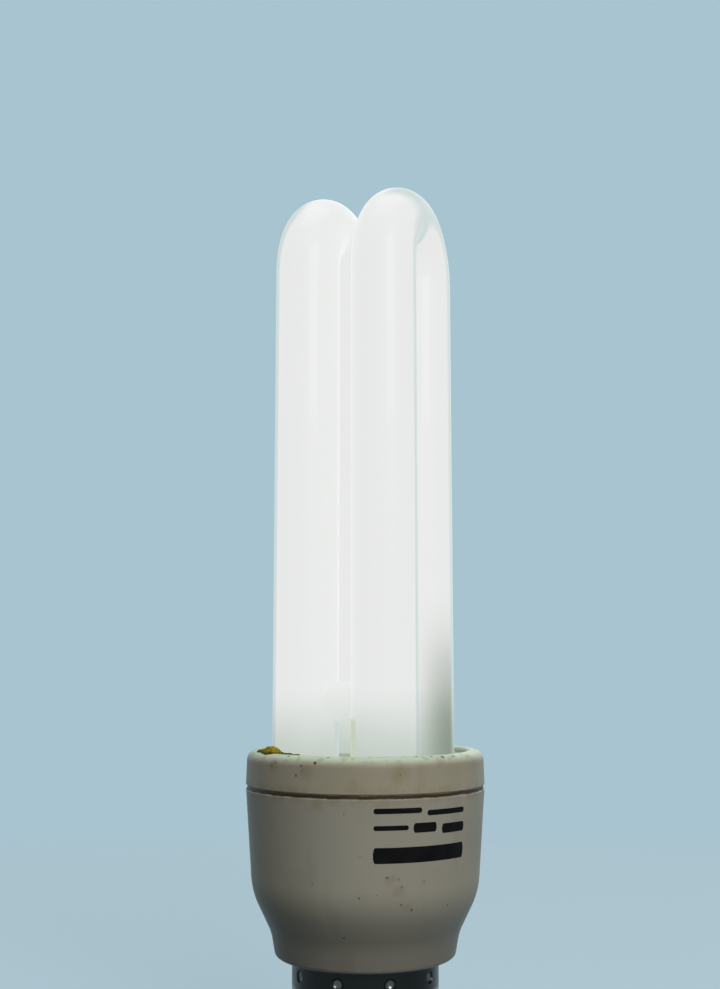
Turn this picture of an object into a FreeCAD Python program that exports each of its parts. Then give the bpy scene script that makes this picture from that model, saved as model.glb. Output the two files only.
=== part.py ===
import FreeCAD, Part
import math
import os

from FreeCAD import Vector

# Compact fluorescent lamp: two U shaped glass tubes on a round case that holds the control gear,
# with a 27 mm screw cap below. Millimetres, +Z up. The origin is the tip of the centre contact.
# The two legs of a U lie one behind the other along Y, and the two Us stand side by side along X.
# A name that ends in _BELOW_SEAM or _ABOVE_SEAM is a height from the joint of case and cover,
# and one that ends in _ABOVE_FOOT is a height from the foot of the case.

# Glass tubes
TUBE_R = 6.0
LEG_GAP = 6.12
U_GAP = 3.46
LEG_ABOVE_SEAM = 95.2
ARCH_RISE = 10.76
LEG_BELOW_SEAM = 5.0
LEG_END_ROUNDING = 2.5
STEM_R = 1.6
STEM_LENGTH = 3.0
STEM_FILLET = 0.6
STEM_TIP_ROUNDING = 1.44
BRIDGE_R = 3.25
BRIDGE_FILLET = 0.8
BRIDGE_ABOVE_SEAM = 15.7

# Case: a slight taper, a shoulder, a waist and a foot
CASE_HEIGHT = 29.75
CASE_DRAFT = 1.3
CASE_WALL = 1.5
CASE_LIP_ROUNDING = 0.25
CASE_FLOOR_FILLET = 0.5
SHOULDER_ABOVE_FOOT = 11.36
SHOULDER_ROUNDING = 13.5
WAIST_ABOVE_FOOT = 4.2
WAIST_WIDENING = 0.76
WAIST_ROUNDING = 8.0
FOOT_OVERHANG = 3.02
FOOT_ROUNDING = 0.8
SPIGOT_ABOVE_THREAD = 1.53
SPIGOT_WALL = 1.5
SPIGOT_ROUNDING = 0.4
RIB_THICKNESS = 1.4
RIB_DEPTH = 2.2
RIB_COUNT = 4

# Cover: a raised round rim about a recessed deck with a hole for each leg
COVER_HEIGHT = 6.47
COVER_SETBACK = 0.21
COVER_ROUNDING = 1.8
COVER_LIP_ROUNDING = 0.2
RIM_WIDTH = 3.1
RIM_TO_LEGS = 0.58
RIM_INNER_ROUNDING = 0.8
DECK_DROP = 1.2
DECK_THICKNESS = 1.8
DECK_FILLET = 0.4
UNDERSIDE_FILLET = 0.5
SEAM_WIDTH = 0.65
SEAM_DEPTH = 0.27
LEG_HOLE_CLEARANCE = 0.35
SLEEVE_WALL = 1.0
SLEEVE_LENGTH = 4.0
CEMENT_BELOW_DECK = 0.2
SKIRT_LENGTH = 6.0
SKIRT_WALL = 1.3
SKIRT_CLEARANCE = 0.12
SKIRT_SLOT = 2.6
SKIRT_ROUNDING = 0.4
BEAD_HEIGHT = 1.2
BEAD_RAMP = 0.54
BEAD_DEPTH = 0.45
BEAD_BELOW_SEAM = 4.4
POST_R = 1.0
POST_IN_SKIRT = 0.5

# Screw cap: rolled sheet with a knuckle thread, a plain skirt and a ring of stake dimples
CAP_HEIGHT = 26.25
SHEET = 0.3
SKIRT_R = 13.2
EDGE_R = 13.6
EDGE_HEIGHT = 0.9
THREAD_CREST_R = 13.1
THREAD_ROOT_R = 12.1
THREAD_PITCH = 3.629
THREAD_BOTTOM = 5.9
THREAD_TURNS = 2.4
THREAD_OVERLAP = 0.06
THREAD_FOOT_GAP = 0.018
THREAD_TO_SKIRT = 1.3
SHELL_BOTTOM = 4.8
SHELL_LIP_R = 11.0
SHELL_ROUNDING = 1.1
SHELL_BEND_R = 0.5
DIMPLE_COUNT = 9
DIMPLE_FROM_EDGE = 2.55
DIMPLE_R = 1.3
DIMPLE_DEPTH = 0.65
DIMPLE_START = -47.5
SPIGOT_CLEARANCE = 0.05

# Insulator and contacts
CONTACT_R = 4.9
CONTACT_THICKNESS = 0.6
CONTACT_HOLE_R = 1.3
CONTACT_ROUNDING = 0.4
EYELET_ROUNDING = 0.15
SOLDER_R = 2.4
SOLDER_RISE = 0.7
INSULATOR_SEAT = 0.6
INSULATOR_SHOULDER = 1.2
INSULATOR_ROUNDING = 0.8
INSULATOR_INSIDE = 2.4
WIRE_HOLE_R = 1.3

# Dried adhesive on the deck, along the rim beside the front left leg
LUMP_ANGLES = (206.0, 212.0, 219.0, 226.0, 232.0, 238.0, 243.5, 248.0)
LUMP_RADII = (0.7, 0.9, 1.15, 1.3, 1.15, 0.85, 0.6, 0.45)
LUMP_FROM_RIM = 0.1
LUMP_SINK = 0.32

# Circuit board and what hangs from it
BOARD_BELOW_SEAM = 10.5
BOARD_THICKNESS = 1.6
BOARD_CLEARANCE = 0.5
PIN_R = 0.3
PIN_LENGTH = 1.5

CHOKE_AT = (-5.6, 0.0)
CORE_WIDTH = 16.0
CORE_HEIGHT = 12.8
CORE_DEPTH = 4.8
CORE_LEG = 2.2
CORE_MIDDLE_LEG = 4.0
BOBBIN_CLEARANCE = 0.1
BOBBIN_WALL = 0.6
BOBBIN_FLANGE = 11.2
WINDING_MARGIN = 0.5

SMOOTHING_AT = (8.2, -3.0)
SMOOTHING_R = 5.0
SMOOTHING_LENGTH = 14.5
CAN_ROUNDING = 0.6
CAN_EDGE_ROUNDING = 0.5
CRIMP_DEPTH = 0.4
CRIMP_FROM_TOP = 2.0
CRIMP_HALF_WIDTH = 0.6
CRIMP_ROUNDING = 0.3

RESONANCE_AT = (-5.6, 10.6)
RESONANCE_SIZE = (9.6, 4.2, 8.6)
COUPLING_AT = (-5.6, -10.4)
COUPLING_SIZE = (9.6, 3.8, 8.0)
FILM_ROUNDING = 0.9

RING_AT = (5.9, 9.4)
RING_OUTER_R = 4.5
RING_INNER_R = 2.5
RING_HEIGHT = 3.4
TURN_WIRE = 0.4
TURN_CLEARANCE = 0.12
TURN_ANGLES = (20.0, 44.0, 140.0, 164.0, 188.0, 260.0, 284.0, 308.0)

TRANSISTOR_PLACES = ((3.4, -12.0), (9.4, -12.0))
TRANSISTOR_R = 2.3
TRANSISTOR_FLAT = 1.3
TRANSISTOR_HEIGHT = 4.7
TRANSISTOR_PIN_PITCH = 1.27

AXIAL_BEND_R = 1.0
AXIAL_ROUNDING = 0.3
AXIAL_LOOP_DROP = 1.2
AXIAL_LEAD_R = 0.21
AXIAL_LEAD_REACH = 1.6
AXIAL_REST_GAP = 0.1
BEND_SHARE = 0.45
DIODE_FROM_WALL = 3.74
DIODE_ANGLES = (146.0, 171.0, 189.0, 214.0)
DIODE_R = 1.3
DIODE_LENGTH = 4.8
FUSE_ANGLE = 18.1
FUSE_FROM_WALL = 4.61
FUSE_R = 1.5
FUSE_LENGTH = 6.0
RESISTOR_PLACES = ((-9.0, 0.0), (9.0, 0.0))
RESISTOR_R = 0.95
RESISTOR_LENGTH = 4.6
TRIGGER_AT = (0.0, 4.2)
TRIGGER_R = 0.8
TRIGGER_LENGTH = 3.2

POST_PLACES = ((-11.2, 12.2), (-4.2, 15.2), (4.2, 15.2), (11.2, 12.2))
POST_SIDE = 0.8
POST_HEIGHT = 4.2
WRAP_TURNS = 3
WRAP_PITCH = 0.475
FILAMENT_WIRE_R = 0.25
FILAMENT_SPREAD = 2.6
LEAD_R = 0.4
CENTRE_LEAD_AT = (4.6, 3.2)
SHELL_LEAD_AT = (1.0, -7.3)
LEAD_BEND_R = 2.0
LEAD_TIP_GAP = 0.05

# Heights and radii that follow from the sizes above
U_PITCH = 2 * TUBE_R + U_GAP
LEG_PITCH = 2 * TUBE_R + LEG_GAP
LEG_REACH = math.hypot(U_PITCH, LEG_PITCH) / 2 + TUBE_R
RIM_INNER_R = LEG_REACH + RIM_TO_LEGS
COVER_R = RIM_INNER_R + RIM_WIDTH
CASE_TOP_R = COVER_R + COVER_SETBACK
SHOULDER_R = CASE_TOP_R - CASE_DRAFT
FOOT_R = SKIRT_R + FOOT_OVERHANG
WAIST_R = FOOT_R + WAIST_WIDENING
SEAM_Z = CAP_HEIGHT + CASE_HEIGHT
SHOULDER_Z = CAP_HEIGHT + SHOULDER_ABOVE_FOOT
WAIST_Z = CAP_HEIGHT + WAIST_ABOVE_FOOT
DECK_Z = SEAM_Z + COVER_HEIGHT - DECK_DROP
LEG_BOTTOM_Z = SEAM_Z - LEG_BELOW_SEAM
LEG_TOP_Z = SEAM_Z + LEG_ABOVE_SEAM
BOARD_TOP_Z = SEAM_Z - BOARD_BELOW_SEAM
BOARD_Z = BOARD_TOP_Z - BOARD_THICKNESS
SPIGOT_R = SKIRT_R - SHEET - SPIGOT_CLEARANCE
THREAD_TOP_Z = THREAD_BOTTOM + THREAD_PITCH * (THREAD_TURNS + 0.5)
SPIGOT_BOTTOM_Z = THREAD_TOP_Z + THREAD_TO_SKIRT + SPIGOT_ABOVE_THREAD
TAPER = CASE_DRAFT / (SEAM_Z - SHOULDER_Z)
LEG_PLACES = [
    (side * U_PITCH / 2, row * LEG_PITCH / 2) for side in (-1, 1) for row in (-1, 1)
]
UP = Vector(0, 0, 1)


def case_inner_r(z):
    """Inner radius of the case at a height between its shoulder and its top."""
    return CASE_TOP_R - CASE_WALL - TAPER * (SEAM_Z - z)


def by_wall(angle, from_wall):
    """Place on the board at an angle and a distance from the case's inner face."""
    turn = math.radians(angle)
    r = case_inner_r(BOARD_Z) - from_wall
    return r * math.cos(turn), r * math.sin(turn)


def corner_arc(before, corner, after, rounding):
    """Start, middle and end of the arc that rounds a corner of an outline."""
    to_before = (before - corner).normalize()
    to_after = (after - corner).normalize()
    half_angle = to_before.getAngle(to_after) / 2
    reach = rounding / math.tan(half_angle)
    inward = (to_before + to_after).normalize()
    centre = corner + inward * (rounding / math.sin(half_angle))
    return corner + to_before * reach, centre - inward * rounding, corner + to_after * reach


def rounded_wire(points, closed):
    """Wire through (position, rounding) points, with a tangent arc at each rounded one."""
    edges = []
    last = None
    first = None
    count = len(points)
    for i, (corner, rounding) in enumerate(points):
        start = end = corner
        middle = None
        if rounding and (closed or 0 < i < count - 1):
            before = points[i - 1][0]
            after = points[(i + 1) % count][0]
            start, middle, end = corner_arc(before, corner, after, rounding)
        if last is None:
            first = start
        elif (start - last).Length > 1e-7:
            edges.append(Part.LineSegment(last, start).toShape())
        if middle is not None:
            edges.append(Part.Arc(start, middle, end).toShape())
        last = end
    if closed and (first - last).Length > 1e-7:
        edges.append(Part.LineSegment(last, first).toShape())
    return Part.Wire(edges)


def revolved(corners):
    """Solid of revolution about Z from (radius, height, rounding) corners."""
    points = [(Vector(r, 0, z), rounding) for r, z, rounding in corners]
    face = Part.Face(rounded_wire(points, True))
    return face.revolve(Vector(), UP, 360)


def cylinder(r, bottom, top, at=(0, 0)):
    return Part.makeCylinder(r, top - bottom, Vector(at[0], at[1], bottom))


def box(size, centre, bottom):
    """Box of the given size, centred in X and Y, with its lowest face at a height."""
    corner = Vector(centre[0] - size[0] / 2, centre[1] - size[1] / 2, bottom)
    return Part.makeBox(size[0], size[1], size[2], corner)


def around(shape, angles):
    """Copies of a shape turned about Z."""
    copies = []
    for angle in angles:
        copy = shape.copy()
        copy.rotate(Vector(), UP, angle)
        copies.append(copy)
    return copies


def even_angles(count, start=0.0):
    return [start + 360.0 * i / count for i in range(count)]


def bent_wire(points, r, bend_r):
    """Round wire along straight runs joined by tangent arcs."""
    corners = [(Vector(*point), bend_r) for point in points]
    path = rounded_wire(corners, False)
    start = Vector(*points[0])
    along = (Vector(*points[1]) - start).normalize()
    section = Part.Wire(Part.makeCircle(r, start, along))
    return path.makePipeShell([section], True, False)


def make_u_tube(x):
    """One U: two legs joined by a half ellipse, open below."""
    half = LEG_PITCH / 2
    front = Vector(x, -half, LEG_BOTTOM_Z)
    front_top = Vector(x, -half, LEG_TOP_Z)
    back_top = Vector(x, half, LEG_TOP_Z)
    back = Vector(x, half, LEG_BOTTOM_Z)
    crown = Vector(x, 0, LEG_TOP_Z + ARCH_RISE)
    centre = Vector(x, 0, LEG_TOP_Z)
    if ARCH_RISE > half:
        ellipse = Part.Ellipse(crown, back_top, centre)
    else:
        ellipse = Part.Ellipse(back_top, crown, centre)
    low = ellipse.parameter(front_top)
    high = ellipse.parameter(back_top)
    arch = Part.ArcOfEllipse(ellipse, min(low, high), max(low, high)).toShape()
    if abs(arch.valueAt((arch.FirstParameter + arch.LastParameter) / 2).z - crown.z) > 1e-6:
        arch = Part.ArcOfEllipse(ellipse, max(low, high), min(low, high) + 2 * math.pi).toShape()
    up = Part.LineSegment(front, front_top).toShape()
    down = Part.LineSegment(back_top, back).toShape()
    path = Part.Wire(Part.__sortEdges__([up, arch, down]))
    section = Part.Wire(Part.makeCircle(TUBE_R, front, UP))
    return path.makePipeShell([section], True, False)


def make_leg_end(place, stem):
    """Closed end of a leg, with its sealed-off stem where there is an electrode."""
    bottom = LEG_BOTTOM_Z
    corners = [
        (0, bottom + TUBE_R, 0),
        (TUBE_R, bottom + TUBE_R, 0),
        (TUBE_R, bottom, LEG_END_ROUNDING),
    ]
    if stem:
        corners += [
            (STEM_R, bottom, STEM_FILLET),
            (STEM_R, bottom - STEM_LENGTH, STEM_TIP_ROUNDING),
            (0, bottom - STEM_LENGTH, 0),
        ]
    else:
        corners.append((0, bottom, 0))
    end = revolved(corners)
    end.translate(Vector(place[0], place[1], 0))
    return end


def is_bridge_joint(edge, start):
    """Whether a curved edge lies on the bridge, whose axis runs along X from the start."""
    middle = edge.valueAt((edge.FirstParameter + edge.LastParameter) / 2)
    off_axis = math.hypot(middle.y - start.y, middle.z - start.z)
    return abs(off_axis - BRIDGE_R) < 1e-4 and not isinstance(edge.Curve, Part.Line)


def make_discharge_tube():
    """Two Us, their closed ends and the bridge between the front legs."""
    trim = cylinder(4 * U_PITCH, LEG_BOTTOM_Z + TUBE_R / 2, LEG_TOP_Z + ARCH_RISE + 2 * TUBE_R)
    tubes = [make_u_tube(side * U_PITCH / 2).common(trim) for side in (-1, 1)]
    ends = [make_leg_end(place, place[1] > 0) for place in LEG_PLACES]
    front = Vector(-U_PITCH / 2, -LEG_PITCH / 2, SEAM_Z + BRIDGE_ABOVE_SEAM)
    bridge = Part.makeCylinder(BRIDGE_R, U_PITCH, front, Vector(1, 0, 0))
    tube = tubes[0].multiFuse([tubes[1], bridge] + ends).removeSplitter()
    joints = [edge for edge in tube.Edges if is_bridge_joint(edge, front)]
    return tube.makeFillet(BRIDGE_FILLET, joints)


def bead_corners(grow):
    """Snap bead of the cover, or with room round it the groove in the case."""
    z = SEAM_Z - BEAD_BELOW_SEAM
    r = case_inner_r(z) - SKIRT_CLEARANCE
    tip = r + BEAD_DEPTH + grow
    return [
        (r - SKIRT_WALL / 2, z - grow, 0),
        (r, z - grow, 0),
        (tip, z + BEAD_RAMP - grow, 0),
        (tip, z + BEAD_HEIGHT + grow, 0),
        (r - SKIRT_WALL / 2, z + BEAD_HEIGHT + grow, 0),
    ]


def make_case():
    """Lower case with its spigot for the cap, the snap groove and the ledges for the board."""
    top = SEAM_Z - SEAM_WIDTH / 2
    outer = [
        (CASE_TOP_R - TAPER * SEAM_WIDTH / 2, top, CASE_LIP_ROUNDING),
        (SHOULDER_R, SHOULDER_Z, SHOULDER_ROUNDING),
        (WAIST_R, WAIST_Z, WAIST_ROUNDING),
        (FOOT_R, CAP_HEIGHT, FOOT_ROUNDING),
    ]
    hollow = [
        (SPIGOT_R - SPIGOT_WALL, CAP_HEIGHT + CASE_WALL, CASE_FLOOR_FILLET),
        (FOOT_R - CASE_WALL, CAP_HEIGHT + CASE_WALL, CASE_FLOOR_FILLET),
        (WAIST_R - CASE_WALL, WAIST_Z, WAIST_ROUNDING),
        (SHOULDER_R - CASE_WALL, SHOULDER_Z, SHOULDER_ROUNDING - CASE_WALL),
        (case_inner_r(top), top, 0),
    ]
    spigot = [
        (SPIGOT_R, CAP_HEIGHT, 0),
        (SPIGOT_R, SPIGOT_BOTTOM_Z, SPIGOT_ROUNDING),
        (SPIGOT_R - SPIGOT_WALL, SPIGOT_BOTTOM_Z, 0),
    ]
    shell = revolved(outer + spigot + hollow)
    filled = revolved(outer + [(0, CAP_HEIGHT, 0), (0, top, 0)])
    reach = RIB_DEPTH + CASE_WALL
    middle = case_inner_r(BOARD_Z) - RIB_DEPTH + reach / 2
    foot = WAIST_Z - CASE_WALL
    rib = box((reach, RIB_THICKNESS, BOARD_Z - foot), (middle, 0), foot).common(filled)
    case = shell.multiFuse(around(rib, even_angles(RIB_COUNT)))
    pockets = [dimple_ball(angle, SHEET + SPIGOT_CLEARANCE) for angle in dimple_angles()]
    return case.cut(revolved(bead_corners(SKIRT_CLEARANCE))).cut(Part.makeCompound(pockets))


def make_cover():
    """Top cover: rim, deck with sleeved leg holes, snap skirt with slots, posts on the board."""
    rim = SEAM_Z + COVER_HEIGHT
    lip = SEAM_Z + SEAM_WIDTH / 2
    seat = SEAM_Z - SEAM_WIDTH / 2
    foot = SEAM_Z - SKIRT_LENGTH
    underside = DECK_Z - DECK_THICKNESS
    skirt_top_r = case_inner_r(seat) - SKIRT_CLEARANCE
    skirt_foot_r = case_inner_r(foot) - SKIRT_CLEARANCE
    inner_r = skirt_foot_r - SKIRT_WALL
    cover = revolved([
        (0, DECK_Z, 0),
        (RIM_INNER_R, DECK_Z, DECK_FILLET),
        (RIM_INNER_R, rim, RIM_INNER_ROUNDING),
        (COVER_R, rim, COVER_ROUNDING),
        (CASE_TOP_R, lip, COVER_LIP_ROUNDING),
        (CASE_TOP_R - SEAM_DEPTH, lip, 0),
        (CASE_TOP_R - SEAM_DEPTH, seat, 0),
        (skirt_top_r, seat, 0),
        (skirt_foot_r, foot, SKIRT_ROUNDING),
        (inner_r, foot, 0),
        (inner_r, underside, UNDERSIDE_FILLET),
        (0, underside, 0),
    ])
    hole_r = TUBE_R + LEG_HOLE_CLEARANCE
    inside = cylinder(inner_r + SKIRT_WALL / 2, underside - SLEEVE_LENGTH, DECK_Z)
    sleeves = [
        cylinder(hole_r + SLEEVE_WALL, underside - SLEEVE_LENGTH, DECK_Z - DECK_THICKNESS / 2, at)
        .common(inside)
        for at in LEG_PLACES
    ]
    post_at = (inner_r + POST_IN_SKIRT - POST_R, 0)
    post = cylinder(POST_R, BOARD_TOP_Z, DECK_Z - DECK_THICKNESS / 2, post_at)
    posts = around(post, even_angles(RIB_COUNT))
    bead = revolved(bead_corners(0))
    cover = cover.multiFuse([bead] + sleeves + posts)
    slot_height = SKIRT_LENGTH - SEAM_WIDTH
    slot = box((2 * CASE_TOP_R, SKIRT_SLOT, slot_height), (0, 0), foot)
    slot = slot.cut(cylinder(inner_r, foot, foot + slot_height))
    slots = around(slot, (45.0, 135.0))
    holes = [cylinder(hole_r, foot, rim, at) for at in LEG_PLACES]
    return cover.cut(Part.makeCompound(slots)).cut(Part.makeCompound(holes))


def make_leg_cement(at):
    """Ring of cement between one leg and its sleeve."""
    bottom = DECK_Z - DECK_THICKNESS - SLEEVE_LENGTH
    outer = cylinder(TUBE_R + LEG_HOLE_CLEARANCE, bottom, DECK_Z - CEMENT_BELOW_DECK, at)
    return outer.cut(cylinder(TUBE_R, bottom, DECK_Z, at))


def make_dried_adhesive(cover, tube):
    """Lumps along the rim, flat where they lie on the deck, the rim and the leg."""
    ring_r = RIM_INNER_R - LUMP_FROM_RIM
    lumps = []
    for angle, r in zip(LUMP_ANGLES, LUMP_RADII):
        turn = math.radians(angle)
        z = SEAM_Z + COVER_HEIGHT - LUMP_SINK * r
        centre = Vector(ring_r * math.cos(turn), ring_r * math.sin(turn), z)
        lumps.append(Part.makeSphere(r, centre))
    above_deck = cylinder(COVER_R, DECK_Z, DECK_Z + COVER_HEIGHT)
    lump = lumps[0].multiFuse(lumps[1:]).common(above_deck).cut(cover).cut(tube)
    return max(lump.Solids, key=lambda solid: solid.Volume)


def dimple_angles():
    return even_angles(DIMPLE_COUNT, DIMPLE_START)


def dimple_ball(angle, grow):
    """Ball that presses one stake dimple, larger by grow on the inside of the sheet."""
    turn = math.radians(angle)
    r = SKIRT_R + DIMPLE_R - DIMPLE_DEPTH
    centre = Vector(r * math.cos(turn), r * math.sin(turn), CAP_HEIGHT - DIMPLE_FROM_EDGE)
    return Part.makeSphere(DIMPLE_R + grow, centre)


def cap_outline(inset):
    """Corners of the cap's outer form, or with an inset those of its inner face."""
    skirt_bottom = THREAD_TOP_Z + THREAD_TO_SKIRT
    return [
        (0, SHELL_BOTTOM + inset, 0),
        (THREAD_ROOT_R - inset, SHELL_BOTTOM + inset, SHELL_ROUNDING - inset),
        (THREAD_ROOT_R - inset, THREAD_TOP_Z, SHELL_BEND_R),
        (SKIRT_R - inset, skirt_bottom, SHELL_BEND_R),
        (SKIRT_R - inset, CAP_HEIGHT - EDGE_HEIGHT, SHELL_BEND_R),
        (EDGE_R - inset, CAP_HEIGHT, 0),
        (0, CAP_HEIGHT, 0),
    ]


def make_thread(inset):
    """Knuckle thread: one ridge of equal crest and root arcs that rises out of the root below
    and runs into the skirt above."""
    floor_r = THREAD_ROOT_R - inset
    crest = THREAD_CREST_R - inset
    root = floor_r - THREAD_OVERLAP
    depth = crest - root
    half = THREAD_PITCH / 2
    arc_r = (depth ** 2 + half ** 2) / (4 * depth)
    edge = half - THREAD_FOOT_GAP
    base = floor_r - SHEET / 2

    def root_arc(z):
        return Vector(root + arc_r - math.sqrt(arc_r ** 2 - (half - abs(z)) ** 2), 0, z)

    middle = root + depth / 2
    low = Vector(middle, 0, -half / 2)
    high = Vector(middle, 0, half / 2)
    section = Part.Wire([
        Part.LineSegment(Vector(base, 0, -edge), root_arc(-edge)).toShape(),
        Part.Arc(root_arc(-edge), root_arc(-0.75 * half), low).toShape(),
        Part.Arc(low, Vector(crest, 0, 0), high).toShape(),
        Part.Arc(high, root_arc(0.75 * half), root_arc(edge)).toShape(),
        Part.LineSegment(root_arc(edge), Vector(base, 0, edge)).toShape(),
        Part.LineSegment(Vector(base, 0, edge), Vector(base, 0, -edge)).toShape(),
    ])
    helix = Part.makeHelix(THREAD_PITCH, THREAD_PITCH * (THREAD_TURNS + 2), middle)
    ridge = helix.makePipeShell([section], True, True)
    ridge.translate(Vector(0, 0, THREAD_BOTTOM - half))
    top = THREAD_TOP_Z + THREAD_TO_SKIRT / 2
    envelope = revolved([
        (0, THREAD_BOTTOM, 0),
        (floor_r, THREAD_BOTTOM, 0),
        (crest + THREAD_OVERLAP, THREAD_BOTTOM + half, 0),
        (crest + THREAD_OVERLAP, top, 0),
        (0, top, 0),
    ])
    return ridge.common(envelope)


def make_cap_shell():
    """Rolled shell: the outer form less the same form one sheet inward."""
    outer = revolved(cap_outline(0)).fuse(make_thread(0))
    inner = revolved(cap_outline(SHEET)).fuse(make_thread(SHEET))
    shell = outer.cut(inner)
    bumps = [dimple_ball(angle, SHEET) for angle in dimple_angles()]
    body = cylinder(SKIRT_R - SHEET / 2, SHELL_BOTTOM, CAP_HEIGHT)
    shell = shell.fuse(Part.makeCompound(bumps).common(body))
    balls = [dimple_ball(angle, 0) for angle in dimple_angles()]
    mouth = cylinder(SHELL_LIP_R, SHELL_BOTTOM - 1, SHELL_BOTTOM + 2 * SHEET)
    return shell.cut(Part.makeCompound(balls)).cut(mouth)


def make_insulator():
    """Glass insulator fused into the lip of the shell, with a hole for the centre lead."""
    seat = CONTACT_THICKNESS + SOLDER_RISE
    return revolved([
        (WIRE_HOLE_R, seat, 0),
        (CONTACT_R + INSULATOR_SEAT, seat, INSULATOR_ROUNDING / 2),
        (SHELL_LIP_R - INSULATOR_SHOULDER, SHELL_BOTTOM - INSULATOR_SHOULDER / 2,
         INSULATOR_ROUNDING),
        (SHELL_LIP_R, SHELL_BOTTOM, 0),
        (SHELL_LIP_R, SHELL_BOTTOM + INSULATOR_INSIDE, INSULATOR_ROUNDING),
        (WIRE_HOLE_R, SHELL_BOTTOM + INSULATOR_INSIDE, INSULATOR_ROUNDING / 2),
    ])


def make_contact():
    """Centre contact: a plate with a rounded edge and an eyelet for the lead."""
    bottom = SOLDER_RISE
    top = bottom + CONTACT_THICKNESS
    return revolved([
        (CONTACT_HOLE_R, top, 0),
        (CONTACT_HOLE_R, bottom, EYELET_ROUNDING),
        (CONTACT_R, bottom, CONTACT_ROUNDING),
        (CONTACT_R, top, 0),
    ])


def make_contact_solder():
    """Dome of solder over the eyelet, down to the tip of the cap."""
    dome_r = (SOLDER_R ** 2 + SOLDER_RISE ** 2) / (2 * SOLDER_RISE)
    dome = Part.makeSphere(dome_r, Vector(0, 0, dome_r))
    dome = dome.common(cylinder(SOLDER_R + 1, -1, SOLDER_RISE))
    plug = cylinder(CONTACT_HOLE_R, SOLDER_RISE, SOLDER_RISE + CONTACT_THICKNESS)
    rounding = cylinder(SOLDER_R, 0, SOLDER_RISE)
    return dome.common(rounding).fuse(plug).cut(make_contact())


def make_board():
    return cylinder(case_inner_r(BOARD_Z) - BOARD_CLEARANCE, BOARD_Z, BOARD_TOP_Z)


def make_choke():
    """Two E shaped core halves, the bobbin on their middle leg and its winding."""
    window_side = (CORE_WIDTH - CORE_MIDDLE_LEG) / 2 - CORE_LEG
    window_at = CORE_MIDDLE_LEG / 2 + window_side / 2
    bottom = BOARD_Z - CORE_HEIGHT
    window_bottom = bottom + CORE_LEG
    window_height = CORE_HEIGHT - 2 * CORE_LEG
    x, y = CHOKE_AT
    core = box((CORE_WIDTH, CORE_DEPTH, CORE_HEIGHT), CHOKE_AT, bottom)
    for side in (-1, 1):
        at = (x + side * window_at, y)
        core = core.cut(box((window_side, CORE_DEPTH, window_height), at, window_bottom))
    joint = bottom + CORE_HEIGHT / 2
    half = box((CORE_WIDTH, CORE_DEPTH, CORE_HEIGHT / 2), CHOKE_AT, joint)
    upper = core.common(half)
    lower = core.cut(half)

    gap = 2 * BOBBIN_CLEARANCE
    hole = (CORE_MIDDLE_LEG + gap, CORE_DEPTH + gap)
    tube = (hole[0] + 2 * BOBBIN_WALL, hole[1] + 2 * BOBBIN_WALL)
    bobbin_bottom = window_bottom + BOBBIN_CLEARANCE
    bobbin_height = window_height - gap
    flange = (BOBBIN_FLANGE, BOBBIN_FLANGE, BOBBIN_WALL)
    top_flange = bobbin_bottom + bobbin_height - BOBBIN_WALL
    pin_y = (BOBBIN_FLANGE / 2 + CORE_DEPTH / 2) / 2
    pins = [
        cylinder(PIN_R, top_flange + BOBBIN_WALL / 2, BOARD_Z, (x + side * pin_y, y + row * pin_y))
        for side in (-1, 1)
        for row in (-1, 1)
    ]
    bobbin = box((tube[0], tube[1], bobbin_height), CHOKE_AT, bobbin_bottom)
    bobbin = bobbin.multiFuse([box(flange, CHOKE_AT, bobbin_bottom),
                               box(flange, CHOKE_AT, top_flange)] + pins)
    bobbin = bobbin.cut(box((hole[0], hole[1], window_height), CHOKE_AT, window_bottom))

    side = BOBBIN_FLANGE - 2 * WINDING_MARGIN
    coil_height = bobbin_height - 2 * BOBBIN_WALL
    coil = box((side, side, coil_height), CHOKE_AT, bobbin_bottom + BOBBIN_WALL)
    upright = [edge for edge in coil.Edges if edge.Length > coil_height - 0.01
               and abs(edge.tangentAt(edge.FirstParameter).z) > 0.9]
    coil = coil.makeFillet(side / 5, upright)
    coil = coil.cut(box((tube[0], tube[1], coil_height), CHOKE_AT, bobbin_bottom + BOBBIN_WALL))
    return upper, lower, bobbin, coil


def make_smoothing_capacitor():
    """Upright can with its crimp near the seal, hung from the board by two leads."""
    top = BOARD_Z - PIN_LENGTH
    bottom = top - SMOOTHING_LENGTH
    crimp = top - CRIMP_FROM_TOP
    can = revolved([
        (0, bottom, 0),
        (SMOOTHING_R, bottom, CAN_ROUNDING),
        (SMOOTHING_R, crimp - CRIMP_HALF_WIDTH, CRIMP_ROUNDING),
        (SMOOTHING_R - CRIMP_DEPTH, crimp, CRIMP_ROUNDING),
        (SMOOTHING_R, crimp + CRIMP_HALF_WIDTH, CRIMP_ROUNDING),
        (SMOOTHING_R, top, CAN_EDGE_ROUNDING),
        (0, top, 0),
    ])
    can.translate(Vector(SMOOTHING_AT[0], SMOOTHING_AT[1], 0))
    return with_pins(can, SMOOTHING_AT, (-SMOOTHING_R / 2, SMOOTHING_R / 2), top)


def with_pins(body, at, offsets, top):
    """The body fused with straight leads along X that reach the board."""
    leads = [
        cylinder(PIN_R, top - PIN_LENGTH / 2, BOARD_Z, (at[0] + offset, at[1]))
        for offset in offsets
    ]
    return body.multiFuse(leads)


def make_film_capacitor(at, size):
    """Dipped film capacitor: a rounded block on two leads."""
    top = BOARD_Z - PIN_LENGTH
    block = box(size, at, top - size[2])
    block = block.makeFillet(min(FILM_ROUNDING, 0.4 * min(size)), block.Edges)
    return with_pins(block, at, (-size[0] / 3, size[0] / 3), top)


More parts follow.
